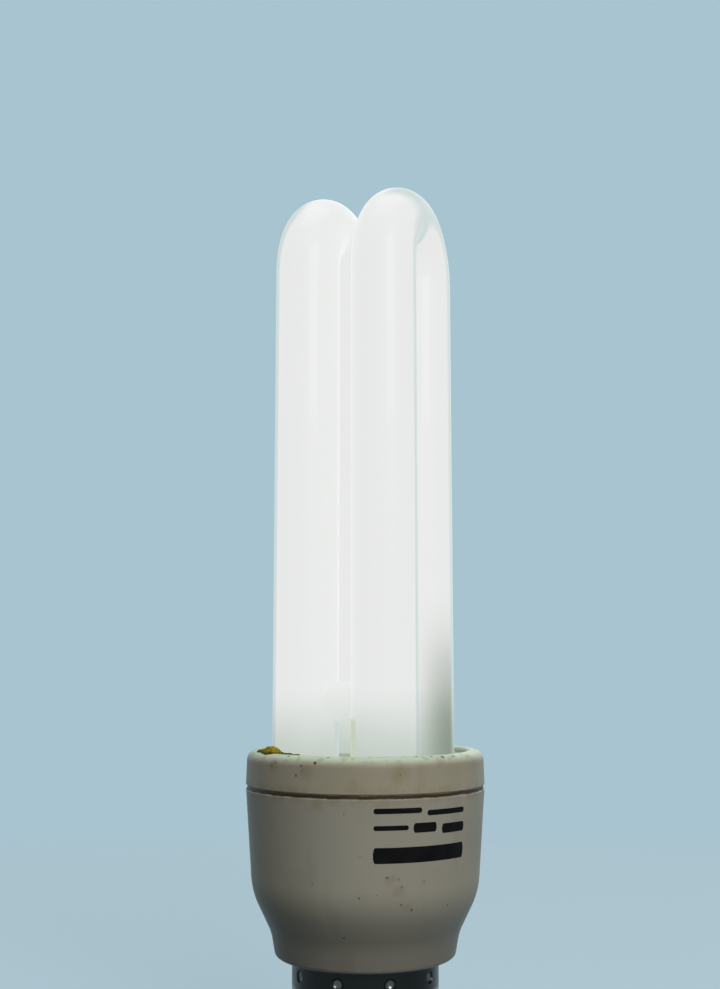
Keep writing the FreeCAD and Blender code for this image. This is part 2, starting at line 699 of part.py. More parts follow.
def make_feedback_ring():
    top = BOARD_Z - TURN_WIRE - TURN_CLEARANCE
    ring = cylinder(RING_OUTER_R, top - RING_HEIGHT, top, RING_AT)
    return ring.cut(cylinder(RING_INNER_R, top - RING_HEIGHT, top, RING_AT))


def make_feedback_windings():
    """Turns of wire about the ring's section, in three groups."""
    clear = TURN_CLEARANCE
    inner_r = RING_INNER_R - clear - TURN_WIRE
    outer_r = RING_OUTER_R + clear + TURN_WIRE
    height = RING_HEIGHT + 2 * (clear + TURN_WIRE)
    middle = ((inner_r + outer_r) / 2, 0)
    turn = box((outer_r - inner_r, TURN_WIRE, height), middle, BOARD_Z - height)
    window = (outer_r - inner_r - 2 * TURN_WIRE, TURN_WIRE, height - 2 * TURN_WIRE)
    turn = turn.cut(box(window, middle, BOARD_Z - height + TURN_WIRE))
    turns = around(turn, TURN_ANGLES)
    for copy in turns:
        copy.translate(Vector(RING_AT[0], RING_AT[1], 0))
    return Part.makeCompound(turns)


def make_transistor(at):
    """Half round package with a flat face and three leads."""
    top = BOARD_Z - PIN_LENGTH
    package = cylinder(TRANSISTOR_R, top - TRANSISTOR_HEIGHT, top, at)
    behind = (at[0], at[1] + TRANSISTOR_FLAT + TRANSISTOR_R)
    flat = box((2 * TRANSISTOR_R, 2 * TRANSISTOR_R, TRANSISTOR_HEIGHT), behind,
               top - TRANSISTOR_HEIGHT)
    offsets = (-TRANSISTOR_PIN_PITCH, 0, TRANSISTOR_PIN_PITCH)
    return with_pins(package.cut(flat), at, offsets, top)


def make_upright_axial(at, r, length):
    """Upright axial part below the board, its lower lead bent back up beside it."""
    top = BOARD_Z - PIN_LENGTH
    bottom = top - length
    body = revolved([
        (0, bottom, 0),
        (r, bottom, AXIAL_ROUNDING),
        (r, top, AXIAL_ROUNDING),
        (0, top, 0),
    ])
    body.translate(Vector(at[0], at[1], 0))
    upper = cylinder(PIN_R, top - PIN_LENGTH / 2, BOARD_Z, at)
    beside = Vector(-at[1], at[0], 0).normalize() * (r + 3 * PIN_R)
    low = bottom - AXIAL_LOOP_DROP
    bend_r = min(AXIAL_BEND_R, BEND_SHARE * beside.Length)
    loop = bent_wire([
        (at[0], at[1], bottom + AXIAL_ROUNDING),
        (at[0], at[1], low),
        (at[0] + beside.x, at[1] + beside.y, low),
        (at[0] + beside.x, at[1] + beside.y, BOARD_Z),
    ], PIN_R, bend_r)
    return body.multiFuse([upper, loop])


def make_flat_axial(at, r, length):
    """Axial part lying on the upper face of the board, its leads bent down to it."""
    z = BOARD_TOP_Z + r + AXIAL_REST_GAP
    reach = length / 2 + AXIAL_LEAD_REACH
    body = Part.makeCylinder(r, length, Vector(at[0] - length / 2, at[1], z), Vector(1, 0, 0))
    ends = [edge for edge in body.Edges if isinstance(edge.Curve, Part.Circle)]
    body = body.makeFillet(min(AXIAL_ROUNDING, r / 2), ends)
    lead = bent_wire([
        (at[0] - reach, at[1], BOARD_TOP_Z),
        (at[0] - reach, at[1], z),
        (at[0] + reach, at[1], z),
        (at[0] + reach, at[1], BOARD_TOP_Z),
    ], AXIAL_LEAD_R, r / 2)
    return body.fuse(lead)


def make_lead_post(at):
    """Square wrapping post on the board, with a pointed tip."""
    post = box((POST_SIDE, POST_SIDE, POST_HEIGHT), at, BOARD_TOP_Z)
    tip = [edge for edge in post.Edges if abs(edge.CenterOfMass.z - BOARD_TOP_Z - POST_HEIGHT) < 1e-6]
    return post.makeChamfer(POST_SIDE / 5, tip)


def make_filament_lead(post_at, leg_at, side):
    """Lead from a leg's end to its post, with the turns wrapped on the post."""
    start = Vector(leg_at[0] + side * FILAMENT_SPREAD, leg_at[1], LEG_BOTTOM_Z)
    wrap_r = POST_SIDE / math.sqrt(2) + FILAMENT_WIRE_R
    wrap_z = BOARD_TOP_Z + POST_HEIGHT / 2
    away = Vector(post_at[0] - start.x, post_at[1] - start.y, 0)
    beside = away.cross(UP).normalize() * wrap_r
    end = Vector(post_at[0], post_at[1], wrap_z) + beside
    wire = bent_wire([tuple(start), (start.x, start.y, wrap_z), tuple(end)],
                     FILAMENT_WIRE_R, BEND_SHARE * (LEG_BOTTOM_Z - wrap_z))
    turns = [
        Part.makeTorus(wrap_r, FILAMENT_WIRE_R,
                       Vector(post_at[0], post_at[1], wrap_z - i * WRAP_PITCH))
        for i in range(WRAP_TURNS)
    ]
    return wire.multiFuse(turns)


def make_centre_lead():
    """Lead from the board down to the solder of the centre contact."""
    x, y = CENTRE_LEAD_AT
    low = SHELL_BOTTOM + INSULATOR_INSIDE + 3 * LEAD_BEND_R
    return bent_wire([
        (x, y, BOARD_Z),
        (x, y, SPIGOT_BOTTOM_Z),
        (0, 0, low),
        (0, 0, SOLDER_RISE + CONTACT_THICKNESS),
    ], LEAD_R, LEAD_BEND_R)


def make_shell_lead():
    """Lead from the board out below the spigot to the inner face of the cap shell."""
    x, y = SHELL_LEAD_AT
    low = SPIGOT_BOTTOM_Z - 2 * LEAD_R
    out = Vector(x, y, 0).normalize() * (SKIRT_R - SHEET - LEAD_TIP_GAP)
    return bent_wire([(x, y, BOARD_Z), (x, y, low), (out.x, out.y, low)], LEAD_R, LEAD_BEND_R)


def make_parts():
    """Every piece by name."""
    tube = make_discharge_tube()
    cover = make_cover()
    parts = {
        "discharge_tube": tube,
        "top_cover": cover,
        "ballast_case": make_case(),
        "cap_shell": make_cap_shell(),
        "cap_insulator": make_insulator(),
        "centre_contact": make_contact(),
        "contact_solder": make_contact_solder(),
        "dried_adhesive": make_dried_adhesive(cover, tube),
        "circuit_board": make_board(),
        "smoothing_capacitor": make_smoothing_capacitor(),
        "resonance_capacitor": make_film_capacitor(RESONANCE_AT, RESONANCE_SIZE),
        "coupling_capacitor": make_film_capacitor(COUPLING_AT, COUPLING_SIZE),
        "feedback_ring": make_feedback_ring(),
        "feedback_windings": make_feedback_windings(),
        "fuse_resistor": make_upright_axial(by_wall(FUSE_ANGLE, FUSE_FROM_WALL), FUSE_R, FUSE_LENGTH),
        "trigger_diode": make_flat_axial(TRIGGER_AT, TRIGGER_R, TRIGGER_LENGTH),
        "centre_lead": make_centre_lead(),
        "shell_lead": make_shell_lead(),
    }
    choke = ("choke_core_upper", "choke_core_lower", "choke_bobbin", "choke_winding")
    parts.update(zip(choke, make_choke()))
    for i, at in enumerate(LEG_PLACES, 1):
        parts[f"leg_cement_{i}"] = make_leg_cement(at)
    for i, at in enumerate(TRANSISTOR_PLACES, 1):
        parts[f"switching_transistor_{i}"] = make_transistor(at)
    for i, angle in enumerate(DIODE_ANGLES, 1):
        at = by_wall(angle, DIODE_FROM_WALL)
        parts[f"rectifier_diode_{i}"] = make_upright_axial(at, DIODE_R, DIODE_LENGTH)
    for i, at in enumerate(RESISTOR_PLACES, 1):
        parts[f"base_resistor_{i}"] = make_flat_axial(at, RESISTOR_R, RESISTOR_LENGTH)
    for i, at in enumerate(POST_PLACES, 1):
        leg = (math.copysign(U_PITCH / 2, at[0]), LEG_PITCH / 2)
        side = 1 if at[0] > leg[0] else -1
        parts[f"lead_post_{i}"] = make_lead_post(at)
        parts[f"filament_lead_{i}"] = make_filament_lead(at, leg, side)
    return parts


def main():
    os.makedirs("parts", exist_ok=True)
    for name, shape in make_parts().items():
        if not shape.isValid():
            print("not valid:", name)
        shape.exportStep(os.path.join("parts", name + ".step"))
        print(name, len(shape.Solids), round(shape.Volume, 2))


main()
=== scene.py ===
"""Looks of a lit compact fluorescent lamp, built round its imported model.

Metres, +Z up, the origin at the tip of the centre contact. Heights named above_seam are measured from
the joint of case and cover, and angles are degrees about the lamp's axis, from +X towards +Y. A span
is where a soft step starts and where it ends. A share is how much of a second colour is mixed in.
"""

import logging
import math
from dataclasses import dataclass
from enum import Enum
from typing import Sequence

import bmesh
import bpy
from mathutils import Euler, Matrix, Vector, noise


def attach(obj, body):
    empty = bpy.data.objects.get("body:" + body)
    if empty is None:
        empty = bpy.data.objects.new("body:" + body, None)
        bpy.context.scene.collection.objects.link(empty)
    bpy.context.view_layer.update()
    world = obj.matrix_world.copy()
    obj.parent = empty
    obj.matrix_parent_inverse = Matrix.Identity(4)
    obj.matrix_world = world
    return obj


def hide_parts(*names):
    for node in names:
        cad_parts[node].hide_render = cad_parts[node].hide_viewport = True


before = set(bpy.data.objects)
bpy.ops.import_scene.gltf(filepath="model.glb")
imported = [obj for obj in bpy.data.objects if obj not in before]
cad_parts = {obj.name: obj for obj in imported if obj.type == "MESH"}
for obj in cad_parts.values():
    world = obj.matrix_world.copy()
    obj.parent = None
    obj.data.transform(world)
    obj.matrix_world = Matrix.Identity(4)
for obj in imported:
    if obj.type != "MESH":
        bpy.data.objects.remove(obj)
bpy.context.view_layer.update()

LOG = logging.getLogger("lamp")
ROOT = "root"
MM = 0.001
SEAM_Z = 56.0 * MM
SHARP_ANGLE = 40.0

Triple = tuple[float, float, float]
Colour = Triple
Span = tuple[float, float]
Number = "Value | float"


def linear(red: int, green: int, blue: int) -> Colour:
    """A colour written as it looks on a screen, as linear light.

    Args:
        red: Red from 0 to 255.
        green: Green from 0 to 255.
        blue: Blue from 0 to 255.

    Returns:
        The three shares of linear light.
    """
    shares = [channel / 255 for channel in (red, green, blue)]
    return tuple(s / 12.92 if s <= 0.04045 else ((s + 0.055) / 1.055) ** 2.4 for s in shares)


def on_ring(radius: float, angle: float, z: float) -> Vector:
    """A point on a circle about the lamp's axis.

    Args:
        radius: Distance from the axis in metres.
        angle: Angle in degrees.
        z: Height in metres.

    Returns:
        The point.
    """
    turn = math.radians(angle)
    return Vector((radius * math.cos(turn), radius * math.sin(turn), z))


class Value:
    """A socket of a node tree that takes part in sums as a number does."""

    def __init__(self, tree: "Tree", socket: bpy.types.NodeSocket) -> None:
        """Keeps the tree and the socket."""
        self.tree = tree
        self.socket = socket

    def _math(self, operation: str, *terms: Number) -> "Value":
        """One Math node.

        Args:
            operation: The node's operation.
            *terms: Its inputs in order.

        Returns:
            Its result.
        """
        return self.tree.node("ShaderNodeMath", {"operation": operation}, dict(enumerate(terms)))

    def __add__(self, other: Number) -> "Value":
        """Sum."""
        return self._math("ADD", self, other)

    __radd__ = __add__

    def __sub__(self, other: Number) -> "Value":
        """Difference."""
        return self._math("SUBTRACT", self, other)

    def __rsub__(self, other: Number) -> "Value":
        """Difference with this value taken away."""
        return self._math("SUBTRACT", other, self)

    def __mul__(self, other: Number) -> "Value":
        """Product."""
        return self._math("MULTIPLY", self, other)

    __rmul__ = __mul__

    def __abs__(self) -> "Value":
        """Size without its sign."""
        return self._math("ABSOLUTE", self)

    def greater(self, other: Number) -> "Value":
        """The greater of two values."""
        return self._math("MAXIMUM", self, other)

    def around_zero(self) -> "Value":
        """Noise from 0 to 1 as noise from -0.5 to 0.5."""
        return self - 0.5

    def smooth(self, low: float, high: float) -> "Value":
        """A soft step.

        Args:
            low: Where the step starts.
            high: Where it ends. It may be the smaller number, for a step down.

        Returns:
            0 before the step and 1 after it.
        """
        settings = {"interpolation_type": "SMOOTHSTEP"}
        if low < high:
            return self.tree.node("ShaderNodeMapRange", settings, {0: self, 1: low, 2: high})
        return 1 - self.smooth(high, low)

    def bump_at(self, middle: float, half_width: float) -> "Value":
        """A soft ridge of height 1.

        Args:
            middle: Value at the ridge's top.
            half_width: Distance from there to where it ends.

        Returns:
            The ridge.
        """
        return abs(self - middle).smooth(half_width, 0.0)


class Axis(Enum):
    """A coordinate of a place, by its output on a Separate XYZ node."""

    X = 0
    Y = 1
    Z = 2


@dataclass(frozen=True)
class Warp:
    """A random shift of the place: its changes to a metre and its full range in metres."""

    scale: float
    reach: float


class Tree:
    """The nodes of a material or of the world.

    A spot has its full strength out to spot_core, a share of its radius.
    """

    spot_core = 0.3

    def __init__(self, owner: bpy.types.Material | bpy.types.World) -> None:
        """Empties the owner's tree.

        Args:
            owner: The material or the world.
        """
        owner.use_nodes = True
        self.nodes = owner.node_tree.nodes
        self.links = owner.node_tree.links
        self.nodes.clear()

    def feed(self, socket: bpy.types.NodeSocket, source: "Value | float | Sequence[float]") -> None:
        """Links a value to a socket or sets the socket's own value.

        Args:
            socket: The socket to feed.
            source: A value, a number or a colour.
        """
        if isinstance(source, Value):
            self.links.new(source.socket, socket)
        elif isinstance(source, (int, float)):
            socket.default_value = source
        else:
            wide = len(socket.default_value) == 4 and len(source) == 3
            socket.default_value = (*source, 1.0) if wide else tuple(source)

    def node(self, kind: str, settings: dict | None = None, inputs: dict | None = None,
             output: int | str = 0) -> Value:
        """Any node.

        Args:
            kind: The node's type.
            settings: Its settings, which are set first.
            inputs: What feeds its sockets, by name or index.
            output: The output that is wanted.

        Returns:
            That output.
        """
        made = self.nodes.new(kind)
        for name, setting in (settings or {}).items():
            setattr(made, name, setting)
        for key, source in (inputs or {}).items():
            self.feed(made.inputs[key], source)
        return Value(self, made.outputs[output])

    def close(self, surface: Value, kind: str = "ShaderNodeOutputMaterial") -> None:
        """Sends a shader to an output node of the given type."""
        self.links.new(surface.socket, self.nodes.new(kind).inputs["Surface"])

    def vector(self, operation: str, *terms: "Value | Triple", output: str = "Vector") -> Value:
        """One Vector Math node.

        Args:
            operation: The node's operation.
            *terms: Its inputs in order.
            output: The output that is wanted, Value where the operation gives a number.

        Returns:
            That output.
        """
        return self.node("ShaderNodeVectorMath", {"operation": operation}, dict(enumerate(terms)), output)

    def place(self) -> Value:
        """Place on the object, in metres."""
        return self.node("ShaderNodeTexCoord", output="Object")

    def axis(self, axis: Axis) -> Value:
        """One coordinate of the place."""
        return self.node("ShaderNodeSeparateXYZ", None, {0: self.place()}, axis.value)

    def radius(self) -> Value:
        """Distance from the lamp's axis, in metres."""
        return self.vector("LENGTH", self.vector("MULTIPLY", self.place(), (1, 1, 0)), output="Value")

    def noise(self, scale: float, detail: float = 3.0, stretch: Triple = (1.0, 1.0, 1.0)) -> Value:
        """Cloudy noise from 0 to 1.

        Args:
            scale: Features to a metre.
            detail: Octaves.
            stretch: Factor on each coordinate.

        Returns:
            The noise.
        """
        spread = self.node("ShaderNodeMapping", None, {"Vector": self.place(), "Scale": stretch})
        return self.node("ShaderNodeTexNoise", None, {"Vector": spread, "Scale": scale, "Detail": detail})

    def cells(self, scale: float) -> Value:
        """Distance from the nearest of some scattered points.

        Args:
            scale: Points to a metre.

        Returns:
            The distance in steps of the spacing.
        """
        return self.node("ShaderNodeTexVoronoi", None, {"Vector": self.place(), "Scale": scale})

    def warped(self, warp: Warp) -> Value:
        """Place on the object, shifted at random.

        Args:
            warp: The shift.

        Returns:
            The shifted place.
        """
        inputs = {"Vector": self.place(), "Scale": warp.scale}
        cloud = self.node("ShaderNodeTexNoise", None, inputs, "Color")
        shift = self.vector("MULTIPLY_ADD", cloud, (warp.reach,) * 3, (-warp.reach / 2,) * 3)
        return self.vector("ADD", self.place(), shift)

    def spot(self, around: Value, centre: Vector, radius: float) -> Value:
        """A soft spot.

        Args:
            around: Place on the object, warped for a ragged spot.
            centre: Its middle.
            radius: Where it ends.

        Returns:
            1 in the middle and 0 from the radius on.
        """
        away = self.vector("DISTANCE", around, tuple(centre), output="Value")
        return away.smooth(radius, self.spot_core * radius)

    def mix(self, share: Number, first: "Value | Colour", second: "Value | Colour") -> Value:
        """Mixes two colours.

        Args:
            share: Share of the second colour.
            first: The first colour.
            second: The second colour.

        Returns:
            The mixed colour.
        """
        inputs = {0: share, 6: first, 7: second}
        return self.node("ShaderNodeMix", {"data_type": "RGBA"}, inputs, 2)

    def bump(self, height: Value, depth: float) -> Value:
        """A normal that follows a height.

        Args:
            height: Height from 0 to 1.
            depth: Real height of 1, in metres.

        Returns:
            The normal.
        """
        return self.node("ShaderNodeBump", None, {"Distance": depth, "Height": height})


@dataclass(frozen=True)
class Patches:
    """Cloudy patches with soft edges, of a strength called their share."""

    scale: float
    edge: Span
    share: float = 1.0
    detail: float = 4.0
    stretch: Triple = (1.0, 1.0, 1.0)

    def on(self, tree: Tree) -> Value:
        """The strength over the surface, 0 between the patches."""
        return tree.noise(self.scale, self.detail, self.stretch).smooth(*self.edge) * self.share


@dataclass(frozen=True)
class Finish:
    """A finish with a colour that varies a little, and fine bumps."""

    name: str
    colour: Colour
    shade: Colour
    roughness: float = 0.5
    metallic: float = 0.0
    coat: float = 0.0
    specular: float = 0.5
    grain: float = 900.0
    grain_depth: float = 0.02 * MM
    grains_to_a_cloud: float = 6.0
    cloud_edge: Span = (0.35, 0.65)
    uneven_gloss: float = 0.16

    def material(self) -> bpy.types.Material:
        """Makes the material.

        Returns:
            The finish as a material.
        """
        material = bpy.data.materials.new(self.name)
        tree = Tree(material)
        shader = tree.nodes.new("ShaderNodeBsdfPrincipled")
        tree.close(Value(tree, shader.outputs[0]))
        shader.inputs["Metallic"].default_value = self.metallic
        shader.inputs["Coat Weight"].default_value = self.coat
        shader.inputs["Specular IOR Level"].default_value = self.specular
        self.dress(tree, shader.inputs)
        material.diffuse_color = (*self.colour, 1.0)
        return material

    def dress(self, tree: Tree, sockets: bpy.types.NodeInputs) -> None:
        """Feeds the shader with what varies over the surface.

        Args:
            tree: The material's tree.
            sockets: The shader's inputs.
        """
        cloud = tree.noise(self.grain / self.grains_to_a_cloud)
        grain = tree.noise(self.grain, detail=4.0)
        tree.feed(sockets["Base Color"], tree.mix(cloud.smooth(*self.cloud_edge), self.colour, self.shade))
        tree.feed(sockets["Roughness"], self.roughness + self.uneven_gloss * grain.around_zero())
        tree.feed(sockets["Normal"], tree.bump(grain, self.grain_depth))


@dataclass(frozen=True)
class LitGlass(Finish):
    """Phosphor coated glass with the discharge on, dimmer and greener towards the electrodes."""

    uneven_gloss: float = 0.1
    coat_roughness: float = 0.08
    cloud_scale: float = 90.0
    glow: Colour = linear(229, 230, 229)
    foot_glow: Colour = linear(184, 196, 186)
    foot: Span = (19.0 * MM, 3.0 * MM)
    foot_wobble: float = 4.0 * MM
    # A darker glow, painted shade on the outer side of the back right leg; the wall lines near the feet
    # fade towards it as well.
    shaded_glow: Colour = linear(128, 140, 126)
    back_leg_shade_height: Span = (36.0 * MM, 6.0 * MM)
    back_leg_shade_side: Span = (7.5 * MM, 14.5 * MM)
    back_half: Span = (-2.0 * MM, 2.0 * MM)
    right_half: Span = (-0.1 * MM, 0.1 * MM)
    outer_side: Span = (-0.1, 0.35)
    wall_glow: Colour = linear(192, 205, 202)
    wall_edge: Span = (0.5, 0.7)
    wall_share: float = 0.9
    wall_dimming: float = 0.5
    # Painted shade low down between the front legs.
    gap_shade_glow: Colour = linear(190, 201, 176)
    gap_shade_edge: Span = (0.38, 0.62)
    gap_shade_height: Span = (12.6 * MM, 11.2 * MM)
    gap_shade_right: Span = (-0.5 * MM, 0.5 * MM)

    def dress(self, tree: Tree, sockets: bpy.types.NodeInputs) -> None:
        """Adds the glow and its dim feet, with painted shade down the outer side of the back right leg.

        Args:
            tree: The material's tree.
            sockets: The shader's inputs.
        """
        cloud = tree.noise(self.cloud_scale)
        above_seam = tree.axis(Axis.Z) - SEAM_Z + self.foot_wobble * cloud.around_zero()
        back = tree.axis(Axis.Y).smooth(*self.back_half)
        glow = tree.mix(above_seam.smooth(*self.foot), self.glow, self.foot_glow)
        # Painted shade: the glow darkens towards the outer side of the back right leg, low down.
        on_back_leg_outer_side = tree.axis(Axis.X).smooth(*self.back_leg_shade_side) * back
        back_leg_shade = above_seam.smooth(*self.back_leg_shade_height) * on_back_leg_outer_side
        glow = tree.mix(back_leg_shade, glow, self.shaded_glow)
        glow = self.with_wall_lines(tree, glow, above_seam, back)
        tree.feed(sockets["Emission Color"], glow)
        sockets["Emission Strength"].default_value = 1.0
        tree.feed(sockets["Base Color"], tree.mix(cloud, self.colour, self.shade))
        tree.feed(sockets["Roughness"], self.roughness + self.uneven_gloss * cloud.around_zero())
        sockets["Coat Roughness"].default_value = self.coat_roughness

    def with_wall_lines(self, tree: Tree, glow: Value, above_seam: Value, back: Value) -> Value:
        """Adds the line that the glass wall shows along each edge of a tube, and painted shade low down
        where the two front legs face each other, yellower on the right leg.

        Args:
            tree: The material's tree.
            glow: The glow so far.
            above_seam: Height above the seam.
            back: 0 on the front legs and 1 on the back legs.

        Returns:
            The glow with the lines.
        """
        across = tree.axis(Axis.X)
        facing = tree.node("ShaderNodeLayerWeight", output="Facing")
        side = across.smooth(*self.right_half) * 2 - 1
        normal = tree.node("ShaderNodeTexCoord", output="Normal")
        outward = tree.node("ShaderNodeSeparateXYZ", None, {0: normal}) * side
        outer = outward.smooth(*self.outer_side)
        wall_dim = above_seam.smooth(*self.foot) * self.wall_dimming
        wall = tree.mix(wall_dim, self.wall_glow, self.shaded_glow)
        glow = tree.mix(facing.smooth(*self.wall_edge) * outer * self.wall_share, glow, wall)
        # Painted shade where the front legs face each other, low down.
        gap_shade_edge = facing.smooth(*self.gap_shade_edge) * (1 - outer) * (1 - back)
        gap_shade = gap_shade_edge * above_seam.smooth(*self.gap_shade_height)
        inner = tree.mix(across.smooth(*self.gap_shade_right), self.wall_glow, self.gap_shade_glow)
        return tree.mix(gap_shade, glow, inner)


@dataclass(frozen=True)
class Stain:
    """A mark on the housing, on a ring at a height above the seam."""

    angle: float
    above_seam: float
    ring_r: float
    size: float
    strength: float


class Marks(Enum):
    """Groups of marks, each (angle, height above the seam, ring radius, size, strength).

    The angle is in degrees and the three lengths are in millimetres.
    """

    COLLAR = (
        (-89.6, 5.5, 21.5, 0.3, 0.95), (-96.3, 4.9, 21.6, 0.22, 0.7), (-99.0, 3.3, 21.6, 0.3, 0.6),
        (-95.8, 4.1, 21.6, 0.24, 0.4), (-50.4, 3.6, 21.6, 0.2, 0.5), (-26.5, 6.3, 20.8, 0.45, 0.8),
        (-114.4, 4.7, 21.6, 0.4, 0.3), (-112.2, 5.2, 21.5, 0.4, 0.3), (-33.0, 6.4, 20.6, 0.3, 0.7),
        (-41.0, 6.5, 20.4, 0.26, 0.8), (-19.0, 6.3, 20.8, 0.4, 0.6), (-64.0, 6.5, 20.2, 0.24, 0.7),
        (-84.0, 6.4, 20.5, 0.26, 0.7), (-106.0, 6.3, 20.6, 0.3, 0.7),
    )
    COLLAR_SMEARS = (
        (-94.0, 4.3, 21.6, 1.5, 0.3), (-50.6, 3.8, 21.7, 1.6, 0.28), (-113.0, 5.0, 21.4, 1.2, 0.3),
        (-30.0, 5.6, 21.2, 1.3, 0.3), (-72.0, 1.4, 21.8, 1.4, 0.25),
    )
    CASE = (
        (-56.1, -13.2, 20.9, 0.24, 0.6), (-50.9, -13.5, 20.9, 0.22, 0.6), (-49.3, -14.8, 20.8, 0.2, 0.5),
        (-69.2, -16.5, 20.6, 0.24, 0.6), (-49.3, -17.7, 20.4, 0.22, 0.6), (-43.6, -18.8, 20.2, 0.3, 0.6),
        (-22.2, -18.6, 20.2, 0.26, 0.5), (-91.5, -14.5, 20.8, 0.2, 0.4), (-75.8, -2.8, 21.6, 0.18, 0.5),
        (-77.9, -23.5, 18.0, 0.26, 0.6), (-61.0, -16.0, 20.7, 0.18, 0.4), (-38.0, -14.1, 20.8, 0.18, 0.4),
    )
    CASE_SMEARS = (
        (-54.0, -13.6, 20.9, 1.1, 0.3), (-50.0, -15.4, 20.7, 1.0, 0.28), (-46.0, -18.2, 20.3, 1.2, 0.25),
        (-88.0, -1.6, 21.7, 1.3, 0.3), (-66.0, -26.5, 17.6, 1.6, 0.25), (-58.0, -0.9, 21.7, 1.5, 0.25),
    )

    def stains(self) -> list[Stain]:
        """The marks of the group in metres."""
        return [Stain(a, z * MM, r * MM, size * MM, strength) for a, z, r, size, strength in self.value]


@dataclass(frozen=True)
class MouldedPlastic(Finish):
    """Aged ivory plastic with dust, rubbed-in dirt along the seam, specks, fine scratches and painted
    shade low down.
    """

    uneven_gloss: float = 0.12
    cloud_scale: float = 55.0
    fine_scale: float = 420.0
    fine_stretch: Triple = (1.0, 1.0, 0.6)
    mottling: Span = (0.4, 0.75)
    mottling_share: float = 0.5
    yellowed: Colour = linear(128, 113, 78)
    yellowing: Patches = Patches(170.0, (0.52, 0.74), 0.3, stretch=(1.0, 1.0, 0.22))
    # Painted shade: the case darkens towards its bottom.
    low_shade: Colour = linear(78, 77, 70)
    low_shade_heights: Span = (-15.5 * MM, -24.5 * MM)
    low_shade_share: float = 0.6
    seam_dirt_reach: Span = (2.2 * MM, 0.2 * MM)
    seam_dirt_edge: Span = (0.35, 0.7)
    seam_dirt_share: float = 0.5
    groove_dirt: Colour = linear(48, 30, 6)
    groove_reach: Span = (0.38 * MM, 0.2 * MM)
    groove_wobble: float = 0.4 * MM
    groove_level: float = 0.3
    groove_share: float = 0.95
    lit_top: Colour = linear(190, 202, 178)
    lit_heights: Span = (4.9 * MM, 6.4 * MM)
    deck_r: Span = (19.2 * MM, 18.6 * MM)
    deck_height: Span = (4.6 * MM, 4.9 * MM)
    deck_share: float = 0.9
    grime_and_shade: Colour = linear(92, 90, 56)
    rim_above_seam: float = 6.0 * MM
    rim_half_width: float = 0.9 * MM
    rim_grime: Patches = Patches(650.0, (0.52, 0.68), 0.3)
    dust: Patches = Patches(2600.0, (0.66, 0.74), 0.35, detail=2.0)
    dusty: Span = (0.45, 0.7)
    dirt: Colour = linear(48, 39, 22)
    speck_cells: float = 420.0
    speck_edge: Span = (0.09, 0.03)
    specked: Patches = Patches(70.0, (0.58, 0.68), 0.5, detail=3.0)
    smears: Marks = Marks.CASE_SMEARS
    smear_warp: Warp = Warp(500.0, 2.2 * MM)
    marks: Marks = Marks.CASE
    mark_warp: Warp = Warp(2600.0, 0.34 * MM)
    mark_spread: float = 1.35
    scratch_scale: float = 260.0
    scratch_stretch: Triple = (1.0, 1.0, 14.0)
    scratch_level: float = 0.5
    scratch_width: float = 0.02
    scratch_gloss: float = 0.1
    scratch_depth: float = 0.2
    mould_scale: float = 1500.0
    mould_depth: float = 0.75
    fine_depth: float = 0.25

    def dress(self, tree: Tree, sockets: bpy.types.NodeInputs) -> None:
        """Adds the yellowing, the dirt and the surface of the mould.

        Args:
            tree: The material's tree.
            sockets: The shader's inputs.
        """
        above_seam = tree.axis(Axis.Z) - SEAM_Z
        cloud = tree.noise(self.cloud_scale, detail=4.0)
        fine = tree.noise(self.fine_scale, 5.0, self.fine_stretch)
        colour = self.aged_with_low_shade(tree, above_seam, cloud)
        colour = self.with_seam(tree, colour, above_seam, fine)
        colour = self.with_lit_top(tree, colour, above_seam)
        colour = self.with_specks(tree, colour, cloud)
        colour = self.with_marks(tree, colour, self.smears, self.smear_warp, self.yellowed)
        colour = self.with_marks(tree, colour, self.marks, self.mark_warp, self.dirt)
        tree.feed(sockets["Base Color"], colour)
        lines = tree.noise(self.scratch_scale, 2.0, self.scratch_stretch)
        scratches = lines.bump_at(self.scratch_level, self.scratch_width)
        rough = self.roughness + self.uneven_gloss * fine.around_zero() + self.scratch_gloss * scratches
        tree.feed(sockets["Roughness"], rough)
        height = self.mould_depth * tree.noise(self.mould_scale, detail=2.0) + self.fine_depth * fine
        height = height - self.scratch_depth * scratches
        tree.feed(sockets["Normal"], tree.bump(height, self.grain_depth))

    def aged_with_low_shade(self, tree: Tree, above_seam: Value, cloud: Value) -> Value:
        """The plastic's own colour, mottled and yellowed, with painted shade low down.

        Args:
            tree: The material's tree.
            above_seam: Height above the seam.
            cloud: Wide, soft noise.

        Returns:
            The colour.
        """
        mottling = cloud.smooth(*self.mottling) * self.mottling_share
        colour = tree.mix(mottling, self.colour, self.shade)
        colour = tree.mix(self.yellowing.on(tree), colour, self.yellowed)
        # Painted shade, darker towards the bottom of the case.
        return tree.mix(above_seam.smooth(*self.low_shade_heights) * self.low_shade_share, colour, self.low_shade)

    def with_seam(self, tree: Tree, colour: Value, above_seam: Value, fine: Value) -> Value:
        """Adds the rubbed-in dirt along the seam and the brown groove in it.

        Args:
            tree: The material's tree.
            colour: The colour so far.
            above_seam: Height above the seam.
            fine: Fine noise.

        Returns:
            The colour with the seam.
        """
        near_seam = abs(above_seam).smooth(*self.seam_dirt_reach)
        seam_dirt = near_seam * fine.smooth(*self.seam_dirt_edge) * self.seam_dirt_share
        colour = tree.mix(seam_dirt, colour, self.yellowed)
        from_groove = abs(above_seam + self.groove_wobble * (fine - self.groove_level))
        groove = from_groove.smooth(*self.groove_reach) * self.groove_share
        return tree.mix(groove, colour, self.groove_dirt)

